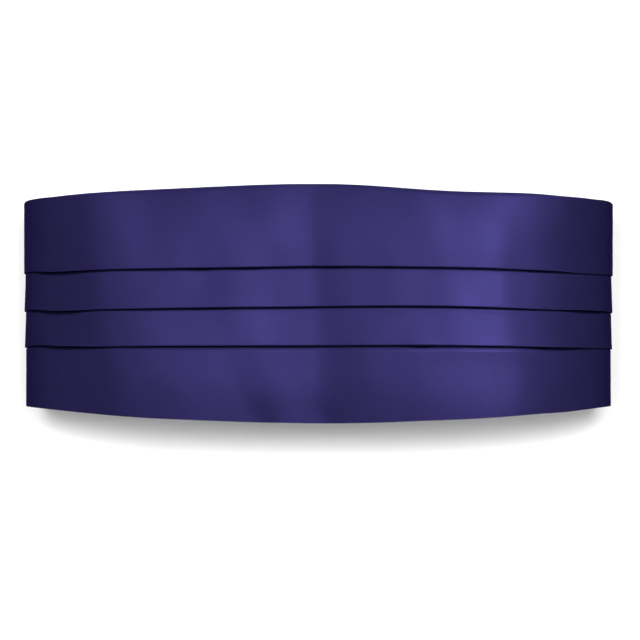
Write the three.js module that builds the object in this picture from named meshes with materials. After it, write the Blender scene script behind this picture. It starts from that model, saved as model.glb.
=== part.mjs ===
// A pleated satin cummerbund, fastened into its loop and lying on its back strap with the pleated front up.
// Millimetres, +Z up. X runs round the waist and Y across the band, with the first, wider band at +Y.
// The origin is under the middle of the loop, on the surface that it lies on.

import * as THREE from "three";

// The loop as it lies
const LOOP_WIDTH = 316; // outside, from side to side
const LOOP_HEIGHT = 54; // from the surface to the top of the arch
const SIDE_HEIGHT = 24; // of the widest point of the two sides
const UNDER_REACH = 36; // from the widest point in to where the band lies flat
const ARCH_EXPONENT = 5.6; // 2 is an ellipse, and more is flatter on top with tighter shoulders
const CREASE_DEPTH = 2; // the valley across the middle, from being folded in half
const CREASE_REACH = 60;

// The pleated band
const BAND_HEIGHT = 127; // at the middle of the front
const END_HEIGHT = 84; // at the two ends, where the straps are sewn on
const BACKING = 1.5; // the cloth under the folds
const FOLD_STEP = 1.5; // a fold stands this far above the cloth that it overlaps, on the arch
const PRESSED_STEP = 0.7; // the same round the sides and underneath, where the folds are pulled tight
const FOLD_POCKET = 8; // the open depth behind a fold
const SLIT_SHARE = 0.3; // how much of a step is open, the rest being the doubled cloth of the fold
const EDGE_THICKNESS = 1.9; // of the turned upper and lower edges
const EDGE_ROUNDING = 0.5;
const SHOULDER = 3; // below a band's upper line, where it starts to rise towards its own fold

// The straps
const STRAP_WIDTH = 32;
const STRAP_THICKNESS = 1.2;
const STRAP_LAP = 22; // sewn on the inside of the band's end
const STRAP_RISE = 12; // the length over which a strap climbs from the surface to the band
const STRAP_SINGLE = 13; // between that climb and the doubled end
const STRAP_DOUBLED = 20; // the end, round the clasp's bar and sewn back on itself

// The clasp
const CLASP_LENGTH = 36;
const CLASP_THICKNESS = 1.8;
const CLASP_BAR = 3; // at the two ends, with a strap round each
const CLASP_WEB = 5; // across the middle
const CLASP_RAIL = 3.2; // along the two sides
const CLASP_CORNER = 3;
const CLASP_BEVEL = 0.4;
const SLOT_CORNER = 1;
const SLOT_CLEARANCE = 1; // beside the strap, in the clasp's slot

// Between pieces that touch
const GAP = 0.3;
const BAR_GAP = 0.4; // round the clasp's bars

// How finely curves are cut
const LONGEST_STEP = 20;
const LARGEST_TURN = THREE.MathUtils.degToRad(9);
const CURVE_SEGMENTS = 6;
const PATH_SAMPLES = 1500;

// The lines across the band, from the upper edge down. Each place is a share of the band's height, above or
// below its middle line, at the middle of the front and at the ends. A low bend starts to close in early.
const LINES = [
  { name: "upper edge", middle: 0.5, end: 0.5, bend: 2.2 },
  { name: "first fold", middle: 0.162, end: 0.18, bend: 1.36 },
  { name: "second fold", middle: -0.005, end: -0.052, bend: 1.36 },
  { name: "third fold", middle: -0.166, end: -0.271, bend: 1.36 },
  { name: "lower edge", middle: -0.5, end: -0.5, bend: 1.5 },
];

// How far down the open pocket of its fold a band has come, and how much of the step it has risen there
const RISE = [
  { down: 0, risen: 0.6 },
  { down: 0.5, risen: 0.85 },
];

const { lerp, smoothstep } = THREE.MathUtils;
const pressedFace = BACKING + PRESSED_STEP; // the band's thickness where it lies flat
const barX = (CLASP_LENGTH - CLASP_BAR) / 2;
const eyeRadius = CLASP_THICKNESS / 2 + BAR_GAP + STRAP_THICKNESS;
const doubledX = barX + eyeRadius + STRAP_DOUBLED;
const riseX = doubledX + STRAP_SINGLE;
const bandEndX = riseX + STRAP_RISE + GAP;

// The inner face of the band seen along Y, from the middle of the arch round one side to its end underneath
class HalfLoop extends THREE.Curve {
  constructor() {
    super();
    this.halfWidth = LOOP_WIDTH / 2 - pressedFace;
    this.rise = LOOP_HEIGHT - BACKING - FOLD_STEP - SIDE_HEIGHT;
    this.flatX = this.halfWidth - UNDER_REACH;
    this.arcLengthDivisions = PATH_SAMPLES;
  }

  getPoint(t, target = new THREE.Vector2()) {
    const stretch = 3 * t;
    if (stretch <= 1) {
      const across = Math.sin((stretch * Math.PI) / 2);
      return target.set(
        this.halfWidth * across,
        SIDE_HEIGHT + this.rise * Math.sqrt(1 - across ** ARCH_EXPONENT),
      );
    }
    if (stretch <= 2) {
      const angle = ((stretch - 1) * Math.PI) / 2;
      return target.set(
        this.flatX + UNDER_REACH * Math.cos(angle),
        SIDE_HEIGHT - (SIDE_HEIGHT - pressedFace) * Math.sin(angle),
      );
    }
    return target.set(lerp(this.flatX, bandEndX, stretch - 2), pressedFace);
  }

  // The share of the half's length at which a stretch ends
  shareAt(stretch) {
    const lengths = this.getLengths();
    return lengths[Math.round((stretch / 3) * PATH_SAMPLES)] / this.getLength();
  }
}

const half = new HalfLoop();
const sideShare = half.shareAt(1);
const flatShare = half.shareAt(2);

// The shares of the half's length that get a section: wherever the band has run or turned far enough, and
// always at the crease, where its valley ends, at the widest point and where the band comes to lie flat
function stationShares() {
  const length = half.getLength();
  const marks = [CREASE_REACH / length, sideShare, flatShare, 1];
  const shares = [0];
  let turned = 0;
  for (let i = 1; i <= PATH_SAMPLES; i++) {
    const [before, share] = [(i - 1) / PATH_SAMPLES, i / PATH_SAMPLES];
    const mark = marks.find((m) => m > before && m <= share);
    const run = (share - shares.at(-1)) * length;
    turned += Math.abs(half.getTangentAt(share).angleTo(half.getTangentAt(before)));
    if (mark || run / LONGEST_STEP + turned / LARGEST_TURN >= 1) {
      shares.push(mark ?? share);
      turned = 0;
    }
  }
  return shares;
}

// The band's outline across, as points of height y and distance n out from the inner face
function crossSection(share) {
  const lines = LINES.map(({ middle, end, bend }) =>
    lerp(middle * BAND_HEIGHT, end * END_HEIGHT, share ** bend),
  );
  const pressed = smoothstep(share, sideShare, flatShare);
  const step = lerp(FOLD_STEP, PRESSED_STEP, smoothstep(share, sideShare / 2, sideShare));
  const top = BACKING + step;
  const cloth = step * (1 - SLIT_SHARE);
  const edge = lerp(EDGE_THICKNESS, top, pressed);
  const r = EDGE_ROUNDING;
  const points = [];
  const add = (y, n) => points.push(new THREE.Vector2(y, n));

  add(lines[0] - r, 0);
  add(lines[0], r);
  add(lines[0], edge - r);
  add(lines[0] - r, edge);
  for (let i = 0; i < LINES.length - 1; i++) {
    const [upper, lower] = [lines[i], lines[i + 1]];
    const from = i === 0 ? edge : BACKING;
    const to = i === LINES.length - 2 ? edge : top;
    if (i > 0) add(upper - r, from);
    add(upper - SHOULDER, lerp(from, top, pressed));
    for (const { down, risen } of RISE) {
      add(lower + FOLD_POCKET * (1 - down), lerp(lerp(from, to, risen), top, pressed));
    }
    add(lower + r, to);
    if (i < LINES.length - 2) {
      add(lower, to - cloth / 2);
      add(lower + r, to - cloth);
      add(lower + FOLD_POCKET, to - cloth);
      add(lower + FOLD_POCKET, BACKING);
    }
  }
  add(lines.at(-1), edge - r);
  add(lines.at(-1), r);
  add(lines.at(-1) + r, 0);
  return points;
}

// One section of the band in place, on the side of the loop that the sign says
function placedSection(share, side) {
  const point = half.getPointAt(share);
  const tangent = share === 0 ? new THREE.Vector2(1, 0) : half.getTangentAt(share);
  const dip = CREASE_DEPTH * Math.max(0, 1 - (share * half.getLength()) / CREASE_REACH);
  return crossSection(share).map(({ x: y, y: n }) => {
    const out = new THREE.Vector2(-tangent.y, tangent.x).multiplyScalar(n).add(point);
    return new THREE.Vector3(side * out.x, y, out.y - dip);
  });
}

// The triangles of a flat cap, as places in its outline. Every point of the outline is used, also along a
// straight side, so that the cap shares its edges with the faces around it.
function capTriangles(outline) {
  const turn = (a, b, c) => outline[b].clone().sub(outline[a]).cross(outline[c].clone().sub(outline[a]));
  const wayRound = Math.sign(THREE.ShapeUtils.area(outline));
  const holds = (corners, p) => corners.every((c, k) => wayRound * turn(c, corners[(k + 1) % 3], p) >= 0);
  const left = outline.map((_, i) => i);
  const triangles = [];
  while (left.length > 2) {
    const cornersAt = (k) => [left.at(k - 1), left[k], left[(k + 1) % left.length]];
    const ear = left.findIndex((_, k) => {
      const corners = cornersAt(k);
      return wayRound * turn(...corners) > 0 && !left.some((p) => !corners.includes(p) && holds(corners, p));
    });
    triangles.push(cornersAt(ear));
    left.splice(ear, 1);
  }
  return triangles;
}

// A closed surface through rings of points, with flat caps
function loft(rings, capOutline) {
  const count = rings[0].length;
  const positions = rings.flat().flatMap((p) => p.toArray());
  const index = [];
  for (let i = 0; i < rings.length - 1; i++) {
    for (let j = 0; j < count; j++) {
      const [a, b] = [i * count + j, i * count + ((j + 1) % count)];
      index.push(a, b, b + count, a, b + count, a + count);
    }
  }
  const last = (rings.length - 1) * count;
  for (const [a, b, c] of capTriangles(capOutline)) {
    index.push(c, b, a, last + a, last + b, last + c);
  }
  const geometry = new THREE.BufferGeometry();
  geometry.setAttribute("position", new THREE.Float32BufferAttribute(positions, 3));
  geometry.setIndex(index);
  geometry.computeVertexNormals();
  return geometry;
}

function pleatedFront() {
  const shares = stationShares();
  const left = shares.slice(1).reverse().map((share) => placedSection(share, -1));
  const right = shares.map((share) => placedSection(share, 1));
  return loft([...left, ...right], crossSection(1));
}

// A strap seen along Y: from its lap on the band's inner face down to the surface and round the clasp's bar.
// The doubled end is sewn to it, so it is one piece with an eye for the bar.
function strapShape() {
  const t = STRAP_THICKNESS;
  const straight = CLASP_BAR / 2 + BAR_GAP + t - eyeRadius; // half the flat length of the eye
  const lapZ = pressedFace + GAP;
  const lapX = bandEndX - GAP;
  const closedX = barX + 2 * eyeRadius;
  const [bend, neck] = [STRAP_RISE / 2, eyeRadius / 2];

  const shape = new THREE.Shape();
  shape.moveTo(barX - straight, 0);
  shape.lineTo(riseX, 0);
  shape.bezierCurveTo(riseX + bend, 0, lapX - bend, lapZ, lapX, lapZ);
  shape.lineTo(bandEndX + STRAP_LAP, lapZ);
  shape.lineTo(bandEndX + STRAP_LAP, lapZ + t);
  shape.lineTo(lapX, lapZ + t);
  shape.bezierCurveTo(lapX - bend, lapZ + t, riseX + bend, t, riseX, t);
  shape.lineTo(doubledX, t);
  shape.lineTo(doubledX, 2 * t);
  shape.lineTo(closedX, 2 * t);
  shape.bezierCurveTo(closedX - neck, 2 * t, closedX - eyeRadius, 2 * eyeRadius, barX + straight, 2 * eyeRadius);
  shape.lineTo(barX - straight, 2 * eyeRadius);
  shape.absarc(barX - straight, eyeRadius, eyeRadius, Math.PI / 2, (3 * Math.PI) / 2, false);

  const eye = new THREE.Path();
  eye.absarc(barX - straight, eyeRadius, eyeRadius - t, Math.PI / 2, (3 * Math.PI) / 2, false);
  eye.absarc(barX + straight, eyeRadius, eyeRadius - t, -Math.PI / 2, Math.PI / 2, false);
  eye.closePath();
  shape.holes.push(eye);
  return shape;
}

function strapGeometry() {
  const geometry = new THREE.ExtrudeGeometry(strapShape(), {
    depth: STRAP_WIDTH,
    curveSegments: CURVE_SEGMENTS,
    bevelEnabled: false,
  });
  return geometry.translate(0, 0, -STRAP_WIDTH / 2).rotateX(Math.PI / 2);
}

function roundedRectangle(path, width, depth, corner, x = 0) {
  const [w, d] = [width / 2 - corner, depth / 2 - corner];
  path.absarc(x + w, -d, corner, -Math.PI / 2, 0, false);
  path.absarc(x + w, d, corner, 0, Math.PI / 2, false);
  path.absarc(x - w, d, corner, Math.PI / 2, Math.PI, false);
  path.absarc(x - w, -d, corner, Math.PI, (3 * Math.PI) / 2, false);
  path.closePath();
  return path;
}

// A plain flat clasp with a slot for each strap
function claspGeometry() {
  const slotDepth = STRAP_WIDTH + 2 * SLOT_CLEARANCE;
  const slotLength = (CLASP_LENGTH - CLASP_WEB) / 2 - CLASP_BAR;
  const slotX = (CLASP_WEB + slotLength) / 2;
  const shape = roundedRectangle(new THREE.Shape(), CLASP_LENGTH, slotDepth + 2 * CLASP_RAIL, CLASP_CORNER);
  for (const x of [-slotX, slotX]) {
    shape.holes.push(roundedRectangle(new THREE.Path(), slotLength, slotDepth, SLOT_CORNER, x));
  }
  return new THREE.ExtrudeGeometry(shape, {
    depth: CLASP_THICKNESS - 2 * CLASP_BEVEL,
    curveSegments: CURVE_SEGMENTS,
    bevelThickness: CLASP_BEVEL,
    bevelSize: CLASP_BEVEL,
    bevelOffset: -CLASP_BEVEL,
    bevelSegments: 1,
  });
}

function named(name, geometry, material) {
  const mesh = new THREE.Mesh(geometry, material);
  mesh.name = name;
  return mesh;
}

const satin = new THREE.MeshStandardMaterial({ color: 0x3d3773, roughness: 0.42, metalness: 0 });
const webbing = new THREE.MeshStandardMaterial({ color: 0x24203f, roughness: 0.75, metalness: 0 });
const nickel = new THREE.MeshStandardMaterial({ color: 0xb9b9bc, roughness: 0.3, metalness: 1 });

const cummerbund = new THREE.Group();
cummerbund.add(named("pleated_front", pleatedFront(), satin));

const strapRight = named("strap_right", strapGeometry(), webbing);
const strapLeft = named("strap_left", strapGeometry(), webbing);
strapLeft.rotation.z = Math.PI;
cummerbund.add(strapRight, strapLeft);

const clasp = named("clasp", claspGeometry(), nickel);
clasp.position.z = STRAP_THICKNESS + BAR_GAP + CLASP_BEVEL;
cummerbund.add(clasp);

export default cummerbund;
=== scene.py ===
"""A pleated satin cummerbund that lies on its back strap with the pleated front up, on a pale studio floor.

Metres, +Z up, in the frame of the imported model: X runs round the waist and Y across the band.
"""

import math

import bpy
import numpy as np
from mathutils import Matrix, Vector


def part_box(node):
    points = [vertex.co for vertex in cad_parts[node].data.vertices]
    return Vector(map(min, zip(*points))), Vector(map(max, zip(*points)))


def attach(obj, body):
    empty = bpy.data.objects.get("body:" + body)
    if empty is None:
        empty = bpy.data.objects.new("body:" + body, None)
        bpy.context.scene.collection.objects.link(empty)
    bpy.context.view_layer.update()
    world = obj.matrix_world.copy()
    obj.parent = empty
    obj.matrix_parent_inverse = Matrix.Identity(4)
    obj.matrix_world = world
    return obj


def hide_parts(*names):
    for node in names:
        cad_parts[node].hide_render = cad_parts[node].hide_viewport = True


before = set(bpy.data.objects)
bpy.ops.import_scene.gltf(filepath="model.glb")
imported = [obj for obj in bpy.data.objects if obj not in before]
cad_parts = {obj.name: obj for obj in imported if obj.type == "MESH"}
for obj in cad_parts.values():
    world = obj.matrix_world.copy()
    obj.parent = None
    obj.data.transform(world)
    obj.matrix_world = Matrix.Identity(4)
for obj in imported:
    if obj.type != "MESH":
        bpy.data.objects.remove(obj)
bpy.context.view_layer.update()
MM = 0.001

# The loop as it lies
FRONT_LOW, FRONT_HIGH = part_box("pleated_front")
LOOP_WIDTH = FRONT_HIGH.x - FRONT_LOW.x
LOOP_HEIGHT = FRONT_HIGH.z - FRONT_LOW.z
SIDE_HEIGHT = 24 * MM
UNDER_REACH = 36 * MM
ARCH_EXPONENT = {"left": 7.0, "right": 5.1}  # more is flatter on top with a tighter shoulder
FLARE = 0.10  # the share by which the loop widens for each metre towards its upper edge

# The pleated band
BAND_HEIGHT = FRONT_HIGH.y - FRONT_LOW.y
END_HEIGHT = 84 * MM
BACKING = 1.5 * MM
FOLD_STEP = 1.5 * MM  # how far a fold stands out from the backing
PRESSED_STEP = 0.7 * MM  # the same at the sides and underneath
FOLD_POCKET = 9 * MM
SLIT_SHARE = 0.3  # of a fold's step, left open behind its cloth
LAYER_GAP = 0.05 * MM  # what is left of that deep in the pocket
EDGE_THICKNESS = 1.9 * MM
SHOULDER = 3 * MM
FREE_SHARE = 0.82  # of the way to the side, up to which swells and creases keep their full height
TUCK_DEPTH = 1.1 * MM  # how far the cloth dives under the edge of the fold above it
TUCK_LOSS = 0.6  # the share of that depth which is lost towards the sides
TUCK_REACH = 1.0 * MM
SHADE_FULL = 0.4  # the cloth gets full painted shade up to this share of the tuck's reach
SHADE_GONE = 0.9  # and no painted shade from this share on
SIDE_SHADE_LOSS = 0.65  # how much less painted shade a closed slit gets at the sides of the loop than on top
FULL_GAPE = 1 * MM  # a slit this much wider gets as much painted shade there as on top
PRESSED_FACE = BACKING + PRESSED_STEP

# Between how many degrees round from its outermost point a round edge gets painted shade as it turns away
EDGE_SHADE_ANGLES = (90, 180)
LIP_SHADE_ANGLES = (20, 100)

# The straps and the clasp
STRAP_LOW, STRAP_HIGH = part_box("strap_right")
CLASP_LOW, CLASP_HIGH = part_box("clasp")
STRAP_WIDTH = STRAP_HIGH.y - STRAP_LOW.y
STRAP_THICKNESS = 1.2 * MM
STRAP_LAP = 22 * MM
STRAP_RISE = 12 * MM
STRAP_SINGLE = 13 * MM
STRAP_EASE = 0.04 * MM  # between the two layers of a doubled end
EYE_EASE = 0.4 * MM  # between the strap and the clasp's bar
RIB_PITCH = 1.1 * MM
RIB_DEPTH = 0.07 * MM
CLASP_BAR = 3 * MM
CLASP_WEB = 5 * MM
CLASP_RAIL = 3.2 * MM
CLASP_CORNER = 3 * MM
SLOT_CORNER = 1 * MM
CLASP_BEVEL = 0.4 * MM
GAP = 0.3 * MM

EYE_RADIUS = STRAP_HIGH.z / 2
BAR_X = CLASP_HIGH.x - CLASP_BAR / 2
BAND_END = STRAP_HIGH.x - STRAP_LAP
RISE_X = BAND_END - GAP - STRAP_RISE
DOUBLED_X = RISE_X - STRAP_SINGLE

# How finely everything is cut
STATIONS_PER_SIDE = 215
PATH_SAMPLES = 9000
FACE_POINTS = 25
TUCKED_SHARE = 0.2  # of a face's points, under the fold above and again where the cloth comes out of it
LIP_POINTS = 7
POCKET_POINTS = 4
EDGE_POINTS = 9
INSIDE_POINTS = 22
RIB_SAMPLES = 5
STRAP_FACE_POINTS = 9
STRAP_EDGE_ANGLES = (-45, 0, 45)
NECK_POINTS = 16
EYE_POINTS = 25
RISE_POINTS = 20
CORNER_POINTS = 9
BEVEL_STEPS = 3

# The lines across the band: their places as shares of the band's height, at the middle and at the ends.
# With a larger bend, a line keeps its first place for longer.
LINES = [
    {"name": "upper edge", "middle": 0.5, "end": 0.5, "bend": 2.2},
    {"name": "first fold", "middle": 0.162, "end": 0.18, "bend": 1.36},
    {"name": "second fold", "middle": -0.005, "end": -0.052, "bend": 1.36},
    {"name": "third fold", "middle": -0.166, "end": -0.271, "bend": 1.36},
    {"name": "lower edge", "middle": -0.5, "end": -0.5, "bend": 1.5},
]
BANDS = len(LINES) - 1
FOLDS = BANDS - 1

# Where a line strays from its smooth run: its place, half length and shift up the band
STRAYS = [
    {"line": 0, "x": -3 * MM, "reach": 85 * MM, "shift": 1.4 * MM},
    {"line": 0, "x": 66 * MM, "reach": 62 * MM, "shift": -1.35 * MM},
    {"line": 0, "x": 100 * MM, "reach": 70 * MM, "shift": -0.35 * MM},
    {"line": 0, "x": 128 * MM, "reach": 18 * MM, "shift": -0.25 * MM},
    {"line": 0, "x": 154 * MM, "reach": 10 * MM, "shift": 0.6 * MM},
    {"line": 0, "x": -128 * MM, "reach": 45 * MM, "shift": -0.25 * MM},
    {"line": 0, "x": -151 * MM, "reach": 14 * MM, "shift": 0.6 * MM},
    {"line": 0, "x": -157 * MM, "reach": 8 * MM, "shift": 0.6 * MM},
    {"line": 1, "x": -153 * MM, "reach": 13 * MM, "shift": 1.1 * MM},
    {"line": 1, "x": -132 * MM, "reach": 20 * MM, "shift": -0.15 * MM},
    {"line": 1, "x": 15 * MM, "reach": 60 * MM, "shift": 0.35 * MM},
    {"line": 1, "x": 70 * MM, "reach": 55 * MM, "shift": 0.4 * MM},
    {"line": 1, "x": 142 * MM, "reach": 22 * MM, "shift": -0.6 * MM},
    {"line": 2, "x": -152 * MM, "reach": 13 * MM, "shift": 1.0 * MM},
    {"line": 2, "x": -131 * MM, "reach": 18 * MM, "shift": -0.35 * MM},
    {"line": 2, "x": 55 * MM, "reach": 85 * MM, "shift": 0.8 * MM},
    {"line": 2, "x": -100 * MM, "reach": 50 * MM, "shift": -0.25 * MM},
    {"line": 2, "x": 143 * MM, "reach": 27 * MM, "shift": 0.35 * MM},
    {"line": 3, "x": -152 * MM, "reach": 10 * MM, "shift": 0.8 * MM},
    {"line": 3, "x": -140 * MM, "reach": 30 * MM, "shift": 0.7 * MM},
    {"line": 3, "x": -145 * MM, "reach": 9 * MM, "shift": 0.55 * MM},
    {"line": 3, "x": 55 * MM, "reach": 70 * MM, "shift": 0.3 * MM},
    {"line": 4, "x": -4 * MM, "reach": 50 * MM, "shift": 0.6 * MM},
    {"line": 4, "x": -100 * MM, "reach": 58 * MM, "shift": -0.85 * MM},
    {"line": 4, "x": 95 * MM, "reach": 55 * MM, "shift": -0.75 * MM},
    {"line": 4, "x": 132 * MM, "reach": 20 * MM, "shift": -0.5 * MM},
]

# Where a fold gapes: how much wider the slit under its edge is there, and how far the edge lifts
GAPES = [
    {"fold": 1, "x": -133 * MM, "reach": 28 * MM, "open": 1.9 * MM, "lift": 0.2 * MM},
    {"fold": 2, "x": -137 * MM, "reach": 25 * MM, "open": 2.1 * MM, "lift": 0.2 * MM},
    {"fold": 3, "x": -132 * MM, "reach": 30 * MM, "open": 2.0 * MM, "lift": 0.2 * MM},
    {"fold": 1, "x": -62 * MM, "reach": 13 * MM, "open": 0.6 * MM, "lift": 0.1 * MM},
    {"fold": 2, "x": -60 * MM, "reach": 22 * MM, "open": 0.3 * MM, "lift": 0.1 * MM},
    {"fold": 1, "x": -38 * MM, "reach": 16 * MM, "open": 0.4 * MM, "lift": 0.1 * MM},
    {"fold": 1, "x": 7 * MM, "reach": 13 * MM, "open": 0.6 * MM, "lift": 0.1 * MM},
    {"fold": 3, "x": 54 * MM, "reach": 11 * MM, "open": 0.7 * MM, "lift": 0.1 * MM},
    {"fold": 3, "x": 127 * MM, "reach": 24 * MM, "open": 1.8 * MM, "lift": 0.2 * MM},
    {"fold": 1, "x": 122 * MM, "reach": 22 * MM, "open": 0.8 * MM, "lift": 0.1 * MM},
    {"fold": 2, "x": 141 * MM, "reach": 18 * MM, "open": 1.8 * MM, "lift": 0.2 * MM},
]

# Soft swells that run across the whole band: place at its middle height, how far they lean towards +X for
# each metre up the band, half width and height
SWELLS = [
    {"x": -102 * MM, "lean": -0.34, "reach": 50 * MM, "height": 2.4 * MM},
    {"x": -55 * MM, "lean": -0.42, "reach": 50 * MM, "height": 0.47 * MM},
    {"x": 20 * MM, "lean": 0.4, "reach": 33 * MM, "height": 0.34 * MM},
    {"x": 73 * MM, "lean": 0.4, "reach": 62 * MM, "height": 1.2 * MM},
]

# The crease at the middle and the ridges at both shoulders, sharper than a swell
CREASES = [
    {"x": -0.2 * MM, "lean": -0.05, "reach": 75 * MM, "height": -1.6 * MM},
    {"x": -114.5 * MM, "lean": -0.12, "reach": 34 * MM, "height": 1.9 * MM},
    {"x": 98 * MM, "lean": -0.12, "reach": 28 * MM, "height": 0.36 * MM},
]
CREASE_ROUNDING = 4 * MM

# Two broad bulges and two small dents: place, half widths along and across, and height
BULGES = [
    {"x": 0, "y": -44 * MM, "along": 400 * MM, "across": 26 * MM, "height": 0.4 * MM},
    {"x": 90 * MM, "y": -64 * MM, "along": 50 * MM, "across": 34 * MM, "height": 0.9 * MM},
    {"x": -31 * MM, "y": -61 * MM, "along": 12 * MM, "across": 15 * MM, "height": -0.45 * MM},
    {"x": 5 * MM, "y": -61 * MM, "along": 12 * MM, "across": 15 * MM, "height": -0.45 * MM},
]

# Low waves all over the cloth: length along and across, height and phase
WAVES = [
    {"along": 74 * MM, "across": 210 * MM, "height": 0.10 * MM, "phase": 0.4},
    {"along": 41 * MM, "across": -120 * MM, "height": 0.05 * MM, "phase": 2.1},
    {"along": 27 * MM, "across": 90 * MM, "height": 0.025 * MM, "phase": 4.0},
]
EDGE_DROOP = {"upper": 1.9 * MM, "lower": -0.35 * MM}
DROOP_REACH = {"upper": 38 * MM, "lower": 44 * MM}


def lerp(a, b, t):
    return a + (b - a) * t


def smoothstep(value, low, high):
    t = np.clip((value - low) / (high - low), 0, 1)
    return t * t * (3 - 2 * t)


def hump(value, reach):
    """1 at 0, falling smoothly to 0 at either reach."""
    return 0.5 + 0.5 * np.cos(np.pi * np.clip(value / reach, -1, 1))


def place_in_scene(name, data):
    thing = bpy.data.objects.new(name, data)
    bpy.context.scene.collection.objects.link(thing)
    return thing


def new_object(name, verts, faces):
    mesh = bpy.data.meshes.new(name)
    mesh.from_pydata(verts, [], faces)
    mesh.validate()
    piece = place_in_scene(name, mesh)
    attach(piece, "root")
    return piece


def shade_smooth(piece, sharp_above=50):
    mesh = piece.data
    mesh.polygons.foreach_set("use_smooth", [True] * len(mesh.polygons))
    mesh.set_sharp_from_angle(angle=math.radians(sharp_above))


class Half:
    """One side of the band's inner face, seen along Y, from the top of the arch to the end underneath."""

    def __init__(self, exponent):
        half_width = LOOP_WIDTH / 2 - PRESSED_FACE
        rise = LOOP_HEIGHT - BACKING - FOLD_STEP - SIDE_HEIGHT
        flat_x = half_width - UNDER_REACH
        stretch = np.linspace(0, 3, PATH_SAMPLES)
        over = np.clip(stretch, 0, 1) * np.pi / 2
        under = np.clip(stretch - 1, 0, 1) * np.pi / 2
        flat = np.clip(stretch - 2, 0, 1)
        across = np.sin(over)
        turned_x = flat_x + UNDER_REACH * np.cos(under) + (BAND_END - flat_x) * flat
        arch = rise * np.sqrt(1 - across**exponent)
        self.x = np.where(stretch <= 1, half_width * across, turned_x)
        self.z = SIDE_HEIGHT + arch - (SIDE_HEIGHT - PRESSED_FACE) * np.sin(under)
        steps = np.hypot(np.diff(self.x), np.diff(self.z))
        self.run = np.concatenate([[0], np.cumsum(steps)])
        self.length = self.run[-1]
        self.side_share = np.interp(1, stretch, self.run) / self.length
        self.flat_share = np.interp(2, stretch, self.run) / self.length

    def at(self, share):
        """Places and tangents at shares of the length."""
        run = share * self.length
        x = np.interp(run, self.run, self.x)
        z = np.interp(run, self.run, self.z)
        step = 0.4 * MM
        back = np.clip(run - step, 0, self.length)
        ahead = np.clip(run + step, 0, self.length)
        tx = np.interp(ahead, self.run, self.x) - np.interp(back, self.run, self.x)
        tz = np.interp(ahead, self.run, self.z) - np.interp(back, self.run, self.z)
        size = np.hypot(tx, tz)
        tz = np.where(share > 0, tz, 0)
        return x, z, tx / size, tz / size


def line_places(share, x):
    """Each line's height on the band at the stations."""
    places = []
    for number, line in enumerate(LINES):
        place = lerp(line["middle"] * BAND_HEIGHT, line["end"] * END_HEIGHT, share ** line["bend"])
        for stray in STRAYS:
            if stray["line"] == number:
                place = place + stray["shift"] * hump(x - stray["x"], stray["reach"])
        places.append(place)
    return places


def relief(x, y, standing, tight):
    """How far the whole thickness of the band stands out of its smooth form, where it stands freely."""
    total = np.zeros_like(y)
    for swell in SWELLS:
        total += swell["height"] * hump(x - swell["x"] - swell["lean"] * y, swell["reach"])
    for crease in CREASES:
        away = np.hypot(x - crease["x"] - crease["lean"] * y, CREASE_ROUNDING)
        total += crease["height"] * np.clip(1 - away / crease["reach"], 0, 1) ** 2
    for bulge in BULGES:
        along = hump(x - bulge["x"], bulge["along"])
        across = hump(y - bulge["y"], bulge["across"])
        total += bulge["height"] * along * across
    for wave in WAVES:
        turn = 2 * np.pi * (x / wave["along"] + y / wave["across"]) + wave["phase"]
        total += wave["height"] * np.sin(turn)
    for edge, way in (("upper", 1), ("lower", -1)):
        into = np.clip((way * y - BAND_HEIGHT / 2) / DROOP_REACH[edge] + 1, 0, 1)
        total -= EDGE_DROOP[edge] * into**2 * (1 - tight)
    return total * standing


def face_height(place, upper, tuck_end, lower):
    """The height of a point on a face: behind the fold above, where it comes out from there, or free."""
    if place <= TUCKED_SHARE:
        return lerp(upper + FOLD_POCKET, upper, place / TUCKED_SHARE)
    if place <= 2 * TUCKED_SHARE:
        return lerp(upper, tuck_end, (place - TUCKED_SHARE) / TUCKED_SHARE)
    return lerp(tuck_end, lower, (place - 2 * TUCKED_SHARE) / (1 - 2 * TUCKED_SHARE))


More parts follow.
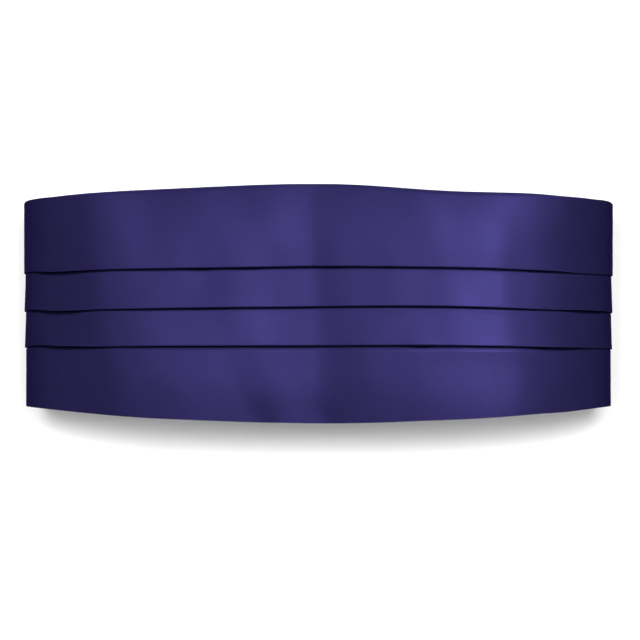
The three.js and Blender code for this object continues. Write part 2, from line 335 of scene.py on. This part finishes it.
class Section:
    """The band cut across at every station. Its outline is gathered point by point, each with a height y up
    the band, a distance n out from the inner face, and an amount of painted shade."""

    def __init__(self, share, x, half):
        self.x = x
        self.lines = line_places(share, x)
        self.pressed = smoothstep(share, half.side_share, half.flat_share)
        self.tight = smoothstep(share, half.side_share / 2, half.side_share)
        self.standing = 1 - smoothstep(share, FREE_SHARE * half.side_share, half.side_share)
        step = lerp(FOLD_STEP, PRESSED_STEP, self.tight)
        self.top = BACKING + step
        self.cloth = step * (1 - SLIT_SHARE)
        self.edge = lerp(EDGE_THICKNESS, self.top, self.pressed)
        self.tuck = TUCK_DEPTH * (1 - TUCK_LOSS * self.tight) * (1 - self.pressed)
        self.darkness = [self.slit_darkness(fold) for fold in range(BANDS)]
        self.face_places = np.linspace(0, 1, FACE_POINTS + 1)[1:]
        self.ys, self.ns, self.shades = [], [], []
        self.gather()

    def gape(self, kind, fold):
        """How far a fold is open, or lifts."""
        total = np.zeros_like(self.x)
        for row in GAPES:
            if row["fold"] == fold:
                total += row[kind] * hump(self.x - row["x"], row["reach"])
        return total * (1 - self.pressed)

    # How deep the painted shade in the slit under a fold is: less at the sides of the loop, unless the fold
    # gapes
    def slit_darkness(self, fold):
        gaping = np.clip(self.gape("open", fold) / FULL_GAPE, 0, 1)
        return 1 - SIDE_SHADE_LOSS * self.tight * (1 - gaping)

    def lifted(self, n, y, fold):
        """A distance n with the lift of a fold's edge, which fades out over its pocket."""
        return n + self.gape("lift", fold) * (1 - smoothstep(y - self.lines[fold], 0, FOLD_POCKET))

    def add(self, y, n, shade=0, fold=0):
        level = np.zeros_like(self.x)
        self.ys.append(y + level)
        self.ns.append(n + level)
        self.shades.append(shade * self.darkness[fold])

    def add_arc(self, y, n, radius, angles, shade_angles, fold=0):
        for angle in angles:
            turn = math.radians(angle)
            # Painted shade on the part of the arc that turns away, between the given angles
            shade = float(smoothstep(abs(angle - 90), *shade_angles))
            self.add(y + radius * math.cos(turn), n + radius * math.sin(turn), shade, fold)

    def add_first_face(self):
        """The uppermost band's face, from the upper edge down to the first fold."""
        upper, lower = self.lines[0], self.lines[1]
        for place in self.face_places:
            y = lerp(upper - self.edge / 2, lower + self.cloth / 2, place)
            n = lerp(self.edge, self.top, (upper - y) / (upper - lower))
            self.add(y, self.lifted(lerp(n, self.top, self.pressed), y, 1))

    def add_face(self, number):
        """A lower band's face, out from behind the fold above it and down to the next line."""
        upper, lower = self.lines[number], self.lines[number + 1]
        last = number == FOLDS
        end = lower + (self.edge if last else self.cloth) / 2
        reach = TUCK_REACH + self.gape("open", number)
        for place in self.face_places:
            y = face_height(place, upper, upper - reach, end)
            risen = np.clip((upper - SHOULDER - y) / (upper - SHOULDER - lower), 0, 1)
            n = lerp(BACKING, self.edge if last else self.top, risen)
            n = lerp(n, self.top, self.pressed)
            n = lerp(BACKING, n, np.clip((upper - self.cloth / 2 - y) / SHOULDER, 0, 1))
            n = n - self.tuck * (1 - smoothstep(upper - y, 0, reach))
            # Painted shade in the tuck under the fold above, fading out down the face
            shade = 1 - smoothstep(upper - y, SHADE_FULL * reach, SHADE_GONE * reach)
            self.add(y, self.lifted(n, y, number + 1), shade, number)

    def add_fold(self, fold):
        """A band's folded lower edge, and its cloth back up into the pocket behind it."""
        lower, radius = self.lines[fold], self.cloth / 2
        centre = self.top - radius + self.gape("lift", fold)
        # The fold's rounded underside and the pocket behind it get painted shade
        angles = np.linspace(90, 270, LIP_POINTS)
        self.add_arc(lower + radius, centre, radius, angles, LIP_SHADE_ANGLES, fold)
        for place in np.linspace(0, 1, POCKET_POINTS + 1)[1:]:
            y = lower + lerp(radius, FOLD_POCKET, place)
            n = lerp(self.top - self.cloth, BACKING + LAYER_GAP, place)
            self.add(y, self.lifted(n, y, fold), 1, fold)
        self.add(lower + FOLD_POCKET, BACKING - self.tuck, 1, fold)

    def gather(self):
        """The whole outline: down the front, round the lower edge and back up the inner face."""
        radius = self.edge / 2
        upper, lower = self.lines[0] - radius, self.lines[-1] + radius
        self.add_arc(upper, radius, radius, np.linspace(-90, 90, EDGE_POINTS), EDGE_SHADE_ANGLES)
        self.add_first_face()
        for fold in range(1, BANDS):
            self.add_fold(fold)
            self.add_face(fold)
        self.add_arc(lower, radius, radius, np.linspace(90, -90, EDGE_POINTS), EDGE_SHADE_ANGLES)
        self.inside_from = len(self.ys) - 1
        for place in np.linspace(0, 1, INSIDE_POINTS)[1:-1]:
            self.add(lerp(lower, upper, place), 0)

    def arrays(self):
        """The heights, the distances with the cloth's relief, and the painted shades, as stations by points.
        """
        ys, ns, shades = (np.stack(values, 1) for values in (self.ys, self.ns, self.shades))
        ns = ns + relief(self.x[:, None], ys, self.standing[:, None], self.tight[:, None])
        return ys, ns, shades


def placed_side(name, sign):
    """One side in place. Each point of each station has its x, y and z, its run along and height across the
    cloth, and its painted shade."""
    half = Half(ARCH_EXPONENT[name])
    share = np.linspace(0, 1, STATIONS_PER_SIDE + 1)
    x, z, tx, tz = half.at(share)
    section = Section(share, sign * x, half)
    ys, ns, shades = section.arrays()
    px = sign * (x[:, None] - tz[:, None] * ns) * (1 + FLARE * ys)
    pz = z[:, None] + tx[:, None] * ns
    along = np.broadcast_to(sign * share[:, None] * half.length, ys.shape)
    return np.stack([px, ys, pz, along, ys, shades], 2), section.inside_from, half.length


def tube_faces(rows, columns, outward=True):
    """Quads through rows of points that close on themselves, with a cap at both ends."""
    row, column = np.meshgrid(np.arange(rows - 1), np.arange(columns), indexing="ij")
    following = (column + 1) % columns
    here, beside = row * columns + column, row * columns + following
    quads = np.stack([here, here + columns, beside + columns, beside], -1).reshape(-1, 4)
    faces = quads.tolist()
    faces.append(list(range(columns)))
    faces.append([(rows - 1) * columns + c for c in reversed(range(columns))])
    return faces if outward else [face[::-1] for face in faces]


def lay_out(mesh, cloth):
    """Gives the mesh its map: for each point, its run along and its place across the cloth."""
    layer = mesh.uv_layers.new(name="cloth")
    corners = np.empty(len(mesh.loops), dtype=np.int32)
    mesh.loops.foreach_get("vertex_index", corners)
    layer.uv.foreach_set("vector", cloth.reshape(-1, 2)[corners].astype(np.float32).ravel())


def pleated_front():
    right, inside_from, right_length = placed_side("right", 1)
    left, _, left_length = placed_side("left", -1)
    grid = np.concatenate([left[:0:-1], right])
    rows, columns = grid.shape[:2]
    points = grid[:, :, :3].reshape(-1, 3).tolist()
    piece = new_object("pleated_front_cloth", points, tube_faces(rows, columns))

    mesh = piece.data
    lay_out(mesh, grid[:, :, 3:5])
    shade = mesh.attributes.new("painted_slit_shade", "FLOAT", "POINT")
    shade.data.foreach_set("value", grid[:, :, 5].astype(np.float32).ravel())

    mesh.materials.append(satin_material())
    mesh.materials.append(satin_back_material())
    inside = np.tile(np.arange(columns) >= inside_from, rows - 1)
    mesh.polygons.foreach_set("material_index", np.append(inside, [True, True]).astype(np.int32))
    shade_smooth(piece)
    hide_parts("pleated_front")


def bezier(start, first, second, end, count):
    """Points of a cubic curve after its start."""
    t = np.linspace(0, 1, count + 1)[1:, None]
    a, b, c, d = (np.array(p) for p in (start, first, second, end))
    return (1 - t) ** 3 * a + 3 * t * (1 - t) ** 2 * b + 3 * t * t * (1 - t) * c + t**3 * d


def strap_path():
    """The middle of the strap's thickness as (x, z), from its doubled end round the bar to the band."""
    layer = STRAP_THICKNESS / 2
    around = EYE_RADIUS - layer
    straight = CLASP_BAR / 2 + EYE_EASE + STRAP_THICKNESS - EYE_RADIUS
    top = 2 * EYE_RADIUS - layer
    doubled_z = 3 * layer + STRAP_EASE
    closed = BAR_X + 2 * EYE_RADIUS
    opening, opened = closed - EYE_RADIUS / 2, closed - EYE_RADIUS
    neck_end = (BAR_X + straight, top)
    neck = bezier((closed, doubled_z), (opening, doubled_z), (opened, top), neck_end, NECK_POINTS)
    turn = np.radians(np.linspace(90, 270, EYE_POINTS))[:, None]
    eye = np.hstack([BAR_X - straight + around * np.cos(turn), EYE_RADIUS + around * np.sin(turn)])
    lap = BAND_END - GAP
    lap_z = PRESSED_FACE + GAP + layer
    bend = STRAP_RISE / 2
    rise = bezier((RISE_X, layer), (RISE_X + bend, layer), (lap - bend, lap_z), (lap, lap_z), RISE_POINTS)
    doubled = [(DOUBLED_X, doubled_z), (closed, doubled_z)]
    return np.concatenate([doubled, neck, eye, [(RISE_X, layer)], rise, [(BAND_END + STRAP_LAP, lap_z)]])


def strap_outline(at):
    """The ribbed strap's outline at its stations: places across and through it, and places on the cloth."""
    rib = 0.5 + 0.5 * np.cos(2 * np.pi * at / RIB_PITCH)
    half_thickness = STRAP_THICKNESS / 2 - RIB_DEPTH * (1 - rib)
    half_width = STRAP_WIDTH / 2 - 2 * RIB_DEPTH * (1 - rib)
    flat = half_width - half_thickness
    ys, ns, across = [], [], []
    for face in (1, -1):
        for place in np.linspace(-1, 1, STRAP_FACE_POINTS):
            ys.append(face * place * flat)
            ns.append(-face * half_thickness)
            across.append(face * place * STRAP_WIDTH / 2)
        for angle in np.radians(STRAP_EDGE_ANGLES):
            ys.append(face * (flat + half_thickness * np.cos(angle)))
            ns.append(face * half_thickness * np.sin(angle))
            across.append(face * STRAP_WIDTH / 2)
    ys, ns = np.stack(ys, 1), np.stack(ns, 1)
    return ys, ns, np.broadcast_to(across, ys.shape)


def strap(side, sign):
    path = strap_path()
    run = np.concatenate([[0], np.cumsum(np.hypot(*np.diff(path, axis=0).T))])
    at = np.arange(0, run[-1], RIB_PITCH / RIB_SAMPLES)
    x, z = np.interp(at, run, path[:, 0]), np.interp(at, run, path[:, 1])
    tangent = np.stack([np.gradient(x), np.gradient(z)], 1)
    tangent /= np.linalg.norm(tangent, axis=1)[:, None]
    ys, ns, across = strap_outline(at)
    px = x[:, None] - tangent[:, 1:] * ns
    pz = z[:, None] + tangent[:, :1] * ns
    grid = np.stack([sign * px, sign * ys, pz], 2)
    faces = tube_faces(*grid.shape[:2], outward=False)
    piece = new_object(f"strap_{side}_webbing", grid.reshape(-1, 3).tolist(), faces)
    mesh = piece.data
    lay_out(mesh, np.stack([np.broadcast_to(at[:, None], ys.shape), across], 2))
    mesh.materials.append(webbing_material())
    shade_smooth(piece)
    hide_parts(f"strap_{side}")


def rounded_rectangle(curve, width, depth, corner, x=0.0):
    """A closed outline with round corners, added to a flat curve."""
    points = []
    for corner_x, corner_y, start in ((1, -1, -90), (1, 1, 0), (-1, 1, 90), (-1, -1, 180)):
        for angle in np.radians(np.linspace(start, start + 90, CORNER_POINTS)):
            px = x + corner_x * (width / 2 - corner) + corner * math.cos(angle)
            py = corner_y * (depth / 2 - corner) + corner * math.sin(angle)
            points.append((px, py, 0, 1))
    spline = curve.splines.new("POLY")
    spline.points.add(len(points) - 1)
    for target, point in zip(spline.points, points):
        target.co = point
    spline.use_cyclic_u = True


def clasp():
    length, depth = CLASP_HIGH.x - CLASP_LOW.x, CLASP_HIGH.y - CLASP_LOW.y
    thickness = CLASP_HIGH.z - CLASP_LOW.z
    slot_depth = depth - 2 * CLASP_RAIL
    slot_length = (length - CLASP_WEB) / 2 - CLASP_BAR
    slot_x = (CLASP_WEB + slot_length) / 2
    curve = bpy.data.curves.new("clasp_outline", "CURVE")
    curve.dimensions = "2D"
    curve.fill_mode = "BOTH"
    curve.extrude = thickness / 2 - CLASP_BEVEL
    curve.bevel_depth = CLASP_BEVEL
    curve.bevel_resolution = BEVEL_STEPS
    curve.offset = -CLASP_BEVEL
    rounded_rectangle(curve, length, depth, CLASP_CORNER)
    for x in (-slot_x, slot_x):
        rounded_rectangle(curve, slot_length, slot_depth, SLOT_CORNER, x)
    form = place_in_scene("clasp_form", curve)
    form.location.z = (CLASP_LOW.z + CLASP_HIGH.z) / 2
    bpy.context.view_layer.update()
    shape = form.evaluated_get(bpy.context.evaluated_depsgraph_get())
    mesh = bpy.data.meshes.new_from_object(shape)
    mesh.transform(form.matrix_world)
    bpy.data.objects.remove(form)
    piece = place_in_scene("clasp_plate", mesh)
    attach(piece, "root")
    mesh.materials.clear()
    mesh.materials.append(nickel_material())
    shade_smooth(piece, sharp_above=35)
    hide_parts("clasp")


STITCH = {"length": 2.2 * MM, "pause": 0.8 * MM, "width": 0.5 * MM, "height": 0.22 * MM}
STITCH_RINGS = 6
STITCH_SIDES = 8
STITCH_TIP = 0.02  # how thin a stitch is at its tips, as a share of its middle
BOX_INSET = 3 * MM
SEAM_INSET = 3.5 * MM
SEAM_GAP = 1.5 * MM  # between the seam and the strap


def stitch_rows(name, rows, material):
    """Rows of small raised stitches joined into one mesh. A row is a start and an end point; all face up."""
    verts, faces = [], []
    for start, end in rows:
        start, end = Vector(start), Vector(end)
        way = (end - start).normalized()
        across = way.cross(Vector((0, 0, 1))).normalized()
        up = across.cross(way)
        pitch = STITCH["length"] + STITCH["pause"]
        count = max(1, round((end - start).length / pitch))
        for number in range(count):
            middle = start.lerp(end, (number + 0.5) / count)
            base = len(verts)
            for ring in range(STITCH_RINGS + 1):
                along = math.cos(math.pi * ring / STITCH_RINGS)
                size = max(STITCH_TIP, math.sqrt(max(0.0, 1 - along**4)))
                for side in range(STITCH_SIDES):
                    turn = 2 * math.pi * side / STITCH_SIDES
                    point = middle + way * (along * STITCH["length"] / 2)
                    point += across * (size * STITCH["width"] / 2 * math.cos(turn))
                    point += up * (size * STITCH["height"] * math.sin(turn))
                    verts.append(point)
            for ring in range(STITCH_RINGS):
                for side in range(STITCH_SIDES):
                    a = base + ring * STITCH_SIDES + side
                    b = base + ring * STITCH_SIDES + (side + 1) % STITCH_SIDES
                    faces.append((b, a, a + STITCH_SIDES, b + STITCH_SIDES))
            last = base + STITCH_RINGS * STITCH_SIDES
            faces.append([base + side for side in range(STITCH_SIDES)])
            faces.append([last + side for side in reversed(range(STITCH_SIDES))])
    piece = new_object(name, verts, faces)
    piece.data.materials.append(material)
    shade_smooth(piece)


def box_rows(x0, x1, half_y, z):
    """The four sides of a stitched box, and the cross in it."""
    corners = [(x0, -half_y, z), (x1, -half_y, z), (x1, half_y, z), (x0, half_y, z)]
    sides = [(corners[i], corners[(i + 1) % 4]) for i in range(4)]
    return [*sides, (corners[0], corners[2]), (corners[1], corners[3])]


def strap_stitches(side, sign, material):
    """The boxes that close the strap's doubled end and hold its lap on the band."""
    half_y = STRAP_WIDTH / 2 - BOX_INSET
    doubled_z = 2 * STRAP_THICKNESS + STRAP_EASE
    lap_z = PRESSED_FACE + GAP + STRAP_THICKNESS
    closed = BAR_X + 2 * EYE_RADIUS
    doubled = (sign * (closed + BOX_INSET / 2), sign * (DOUBLED_X - BOX_INSET))
    lap = (sign * (BAND_END + BOX_INSET), sign * (BAND_END + STRAP_LAP - BOX_INSET))
    rows = box_rows(*doubled, half_y, doubled_z) + box_rows(*lap, half_y, lap_z)
    stitch_rows(f"strap_{side}_stitches", rows, material)


def end_stitches(side, sign, material):
    """The seam that closes the band's end, on its inner side, on both sides of the strap."""
    x = sign * (BAND_END + SEAM_INSET)
    near = STRAP_WIDTH / 2 + SEAM_GAP
    far = END_HEIGHT / 2 - SEAM_INSET
    rows = [((x, y * near, PRESSED_FACE), (x, y * far, PRESSED_FACE)) for y in (-1, 1)]
    stitch_rows(f"end_{side}_stitches", rows, material)


class Material:
    """A node material with a Principled shader and short ways to add nodes."""

    def __init__(self, name):
        self.material = bpy.data.materials.new(name)
        self.material.use_nodes = True
        self.tree = self.material.node_tree
        self.shader = self.tree.nodes["Principled BSDF"]

    def node(self, kind, **values):
        node = self.tree.nodes.new(kind)
        for key, value in values.items():
            if hasattr(node, key):
                setattr(node, key, value)
            else:
                node.inputs[key.replace("_", " ")].default_value = value
        return node

    def link(self, source, output, target, socket):
        self.tree.links.new(source.outputs[output], target.inputs[socket])

    def set(self, **values):
        for key, value in values.items():
            self.shader.inputs[key.replace("_", " ")].default_value = value

    def uv(self, along=1, across=1):
        """Places on the cloth, scaled along and across it."""
        source = self.node("ShaderNodeUVMap", uv_map="cloth")
        mapping = self.node("ShaderNodeMapping", Scale=(along, across, 1))
        self.link(source, "UV", mapping, "Vector")
        return mapping

    def noise(self, place, output, scale, detail=2.0, roughness=0.5):
        node = self.node("ShaderNodeTexNoise", Scale=scale, Detail=detail, Roughness=roughness)
        self.link(place, output, node, "Vector")
        return node

    def threads(self, place, output, direction, scale, distortion=0.0):
        node = self.node("ShaderNodeTexWave", bands_direction=direction, Scale=scale, Distortion=distortion)
        self.link(place, output, node, "Vector")
        return node

    def ramp(self, source, output, start, end):
        """Maps the range of values in start to the range in end."""
        node = self.node("ShaderNodeMapRange", From_Min=start[0], From_Max=start[1])
        node.inputs["To Min"].default_value, node.inputs["To Max"].default_value = end
        self.link(source, output, node, "Value")
        return node

    def two_tones(self, source, dark, light, start=0.0, end=1.0):
        """Colours the surface between two tones by a texture, from its value start to its value end."""
        ramp = self.node("ShaderNodeValToRGB")
        low, high = ramp.color_ramp.elements
        low.position, low.color = start, dark
        high.position, high.color = end, light
        self.link(source, "Fac", ramp, "Fac")
        self.link(ramp, "Color", self.shader, "Base Color")

    def bump(self, source, output, strength, distance):
        node = self.node("ShaderNodeBump", Strength=strength, Distance=distance)
        self.link(source, output, node, "Height")
        self.link(node, "Normal", self.shader, "Normal")


SATIN_DARK = (0.025, 0.0195, 0.0875, 1)
SATIN_BLUE = (0.0247, 0.0212, 0.0925, 1)
SATIN_EDGE = (0.07, 0.062, 0.105, 1)
SLIT_SHADE_KEPT = 0.22  # how much of its colour the cloth keeps under the painted shade deep in the slit behind a fold
MIX_A, MIX_B, MIX_RESULT = 6, 7, 2  # the colour sockets of a mix node


def satin_colour(satin):
    """A slow drift between a violet and a bluer tone, fine slubs along the thread, and painted shade in the
    slits and under round edges.
    """
    cloth = satin.uv()
    drift = satin.noise(cloth, "Vector", 75.0)
    slubs = satin.noise(satin.uv(120, 2600), "Vector", 1.0, 3.0)
    amount = satin.ramp(drift, "Fac", (0.3, 0.7), (0.0, 1.0))
    tone = satin.node("ShaderNodeMix", data_type="RGBA")
    satin.link(amount, "Result", tone, "Factor")
    tone.inputs[MIX_A].default_value = SATIN_DARK
    tone.inputs[MIX_B].default_value = SATIN_BLUE
    streak = satin.ramp(slubs, "Fac", (0.25, 0.75), (0.93, 1.07))
    # Painted shade: the colour is darkened where the mesh marks a slit or the underside of a round edge
    shade = satin.node("ShaderNodeAttribute", attribute_name="painted_slit_shade")
    after_painted_shade = satin.ramp(shade, "Fac", (0, 1), (1, SLIT_SHADE_KEPT))
    scale = satin.node("ShaderNodeMath", operation="MULTIPLY")
    satin.link(streak, "Result", scale, 0)
    satin.link(after_painted_shade, "Result", scale, 1)
    shaded = satin.node("ShaderNodeVectorMath", operation="SCALE")
    satin.link(tone, MIX_RESULT, shaded, 0)
    satin.link(scale, "Value", shaded, "Scale")
    satin.link(shaded, "Vector", satin.shader, "Base Color")
    return cloth, slubs


def satin_material():
    """Dyed satin: the gloss of the long floating threads takes the colour of the dye."""
    satin = Material("satin")
    cloth, slubs = satin_colour(satin)
    satin.set(Metallic=0.74, Specular_IOR_Level=0.0, Specular_Tint=SATIN_EDGE, Anisotropic=0.2)
    patches = satin.noise(cloth, "Vector", 40.0, 3.0)
    gloss = satin.ramp(patches, "Fac", (0.3, 0.7), (0.34, 0.39))
    satin.link(gloss, "Result", satin.shader, "Roughness")
    tangent = satin.node("ShaderNodeTangent", direction_type="UV_MAP", uv_map="cloth")
    satin.link(tangent, "Tangent", satin.shader, "Tangent")
    weave = satin.threads(cloth, "Vector", "DIAGONAL", 620.0, 0.6)
    thread = satin.node("ShaderNodeMath", operation="MULTIPLY_ADD")
    satin.link(weave, "Fac", thread, 0)
    thread.inputs[1].default_value = 0.5
    satin.link(slubs, "Fac", thread, 2)
    satin.bump(thread, "Value", 0.35, 0.02 * MM)
    return satin.material


def satin_back_material():
    """The dull side of the same cloth."""
    back = Material("satin_back")
    cloth, _ = satin_colour(back)
    back.set(Roughness=0.68, Specular_IOR_Level=0.1)
    weave = back.threads(cloth, "Vector", "DIAGONAL", 520.0, 0.8)
    back.bump(weave, "Fac", 0.5, 0.05 * MM)
    return back.material


def webbing_material():
    """Plain grosgrain: fine cross ribs, and a tone that varies a little at random."""
    webbing = Material("webbing")
    tone = webbing.noise(webbing.uv(900, 160), "Vector", 1.0, 3.0)
    webbing.two_tones(tone, (0.012, 0.010, 0.030, 1), (0.024, 0.020, 0.055, 1), 0.3, 0.75)
    webbing.set(Roughness=0.62, Specular_IOR_Level=0.2, Sheen_Weight=0.12, Sheen_Roughness=0.4)
    ribs = webbing.threads(webbing.uv(), "Vector", "Y", 700.0, 0.4)
    webbing.bump(ribs, "Fac", 0.6, 0.05 * MM)
    return webbing.material


def nickel_material():
    """Plated steel with fine scuffs."""
    nickel = Material("nickel")
    place = nickel.node("ShaderNodeTexCoord")
    scuffs = nickel.noise(place, "Object", 900.0, 4.0, 0.6)
    gloss = nickel.ramp(scuffs, "Fac", (0.3, 0.7), (0.22, 0.38))
    nickel.link(gloss, "Result", nickel.shader, "Roughness")
    tone = nickel.noise(place, "Object", 160.0)
    nickel.two_tones(tone, (0.46, 0.46, 0.45, 1), (0.58, 0.58, 0.58, 1))
    nickel.set(Metallic=1.0)
    nickel.bump(scuffs, "Fac", 0.2, 0.02 * MM)
    return nickel.material


def thread_material():
    """Twisted sewing thread in the colour of the cloth, with painted shade in the grooves of its twist."""
    thread = Material("thread")
    place = thread.node("ShaderNodeTexCoord")
    twist = thread.threads(place, "Object", "DIAGONAL", 900.0)
    # The darker tone falls in the grooves of the twist, where the bump is low: painted shade
    thread.two_tones(twist, (0.016, 0.013, 0.045, 1), (0.040, 0.034, 0.10, 1))
    thread.set(Roughness=0.5)
    thread.bump(twist, "Fac", 0.5, 0.05 * MM)
    return thread.material


FLOOR_HALF = 3.0
FLOOR_CELLS = 4


def floor():
    """A plain pale studio floor."""
    side = np.linspace(-FLOOR_HALF, FLOOR_HALF, FLOOR_CELLS + 1)
    verts = [(x, y, 0) for y in side for x in side]
    across = FLOOR_CELLS + 1
    cells = [(row, column) for row in range(FLOOR_CELLS) for column in range(FLOOR_CELLS)]
    faces = []
    for row, column in cells:
        corner = row * across + column
        faces.append((corner, corner + 1, corner + 1 + across, corner + across))
    mesh = bpy.data.meshes.new("studio_floor")
    mesh.from_pydata(verts, [], faces)
    piece = place_in_scene("studio_floor", mesh)
    paper = Material("floor_paper")
    paper.set(Base_Color=(0.9, 0.9, 0.895, 1), Roughness=0.9, Specular_IOR_Level=0.1)
    mesh.materials.append(paper.material)
    piece.visible_glossy = False


# Softboxes: height, degrees off the vertical towards +X and +Y, size and power. The first ones are for all
# but gloss, and the others for gloss alone.
SOFT_LIGHTS = [
    {"name": "key_left", "height": 1.6, "x": -22, "y": 14, "size": (0.7, 0.8), "power": 22.8},
    {"name": "key_right", "height": 1.6, "x": 16, "y": 14, "size": (0.7, 0.8), "power": 22.8},
    {"name": "side_left", "height": 1.0, "x": -55, "y": -10, "size": (0.6, 0.6), "power": 8.0},
    {"name": "side_right", "height": 1.0, "x": 55, "y": -10, "size": (0.6, 0.6), "power": 8.0},
]
GLOSS_LIGHTS = [
    {"name": "sheen", "height": 1.5, "x": 12, "y": 12, "size": (0.26, 0.26), "power": 5.4},
    {"name": "rim_1", "height": 0.6, "x": 42, "y": 61, "size": (1.0, 0.5), "power": 6.5},
    {"name": "rim_2", "height": 0.6, "x": -42, "y": 61, "size": (1.0, 0.5), "power": 5.2},
    {"name": "rim_3", "height": 0.6, "x": -42, "y": -61, "size": (1.0, 0.5), "power": 5.2},
    {"name": "rim_4", "height": 0.6, "x": 42, "y": -61, "size": (1.0, 0.5), "power": 6.5},
]
SKY_TOP = 0.2
SKY_LOW = 0.18
SKY_RISES = (0.15, 0.95)  # from low to top, between these shares of the way up
SKY_TONE = (1.0, 1.0, 0.985)


def softbox(row, gloss):
    """A rectangular area light that faces the object."""
    data = bpy.data.lights.new(row["name"], "AREA")
    data.shape = "RECTANGLE"
    data.size, data.size_y = row["size"]
    data.energy = row["power"]
    light = place_in_scene(row["name"], data)
    slant = Vector((math.tan(math.radians(row["x"])), math.tan(math.radians(row["y"])), 1))
    place = slant * row["height"]
    light.location = place
    light.rotation_euler = place.to_track_quat("Z", "Y").to_euler()
    light.visible_glossy = gloss
    light.visible_diffuse = not gloss


def sky():
    """Soft light from all round, a little dimmer near the horizon."""
    world = bpy.data.worlds.new("studio")
    world.use_nodes = True
    nodes, links = world.node_tree.nodes, world.node_tree.links
    background = nodes["Background"]
    place = nodes.new("ShaderNodeTexCoord")
    split = nodes.new("ShaderNodeSeparateXYZ")
    links.new(place.outputs["Generated"], split.inputs["Vector"])
    strength = nodes.new("ShaderNodeMapRange")
    strength.interpolation_type = "SMOOTHSTEP"
    strength.inputs["From Min"].default_value = SKY_RISES[0]
    strength.inputs["From Max"].default_value = SKY_RISES[1]
    strength.inputs["To Min"].default_value = SKY_LOW
    strength.inputs["To Max"].default_value = SKY_TOP
    links.new(split.outputs["Z"], strength.inputs["Value"])
    links.new(strength.outputs["Result"], background.inputs["Strength"])
    background.inputs["Color"].default_value = (*SKY_TONE, 1)
    bpy.context.scene.world = world


CAMERA_TARGET = (0.8 * MM, -6.35 * MM, 30 * MM)
CAMERA_DISTANCE = 1.4
CAMERA_ELEVATION = 87.0
CAMERA_LENS = 147.1
CAMERA_SENSOR = 36.0


def camera():
    data = bpy.data.cameras.new("camera")
    data.lens = CAMERA_LENS
    data.sensor_width = CAMERA_SENSOR
    viewer = place_in_scene("camera", data)
    raised = math.radians(CAMERA_ELEVATION)
    back = Vector((0, -math.cos(raised), math.sin(raised)))
    viewer.location = Vector(CAMERA_TARGET) + back * CAMERA_DISTANCE
    viewer.rotation_euler = (math.pi / 2 - raised, 0, 0)
    bpy.context.scene.camera = viewer


def main():
    pleated_front()
    thread = thread_material()
    for side, sign in (("right", 1), ("left", -1)):
        strap(side, sign)
        strap_stitches(side, sign, thread)
        end_stitches(side, sign, thread)
    clasp()
    floor()
    for row in SOFT_LIGHTS:
        softbox(row, gloss=False)
    for row in GLOSS_LIGHTS:
        softbox(row, gloss=True)
    sky()
    camera()
    bpy.context.scene.view_settings.view_transform = "Standard"


main()

bpy.context.view_layer.update()
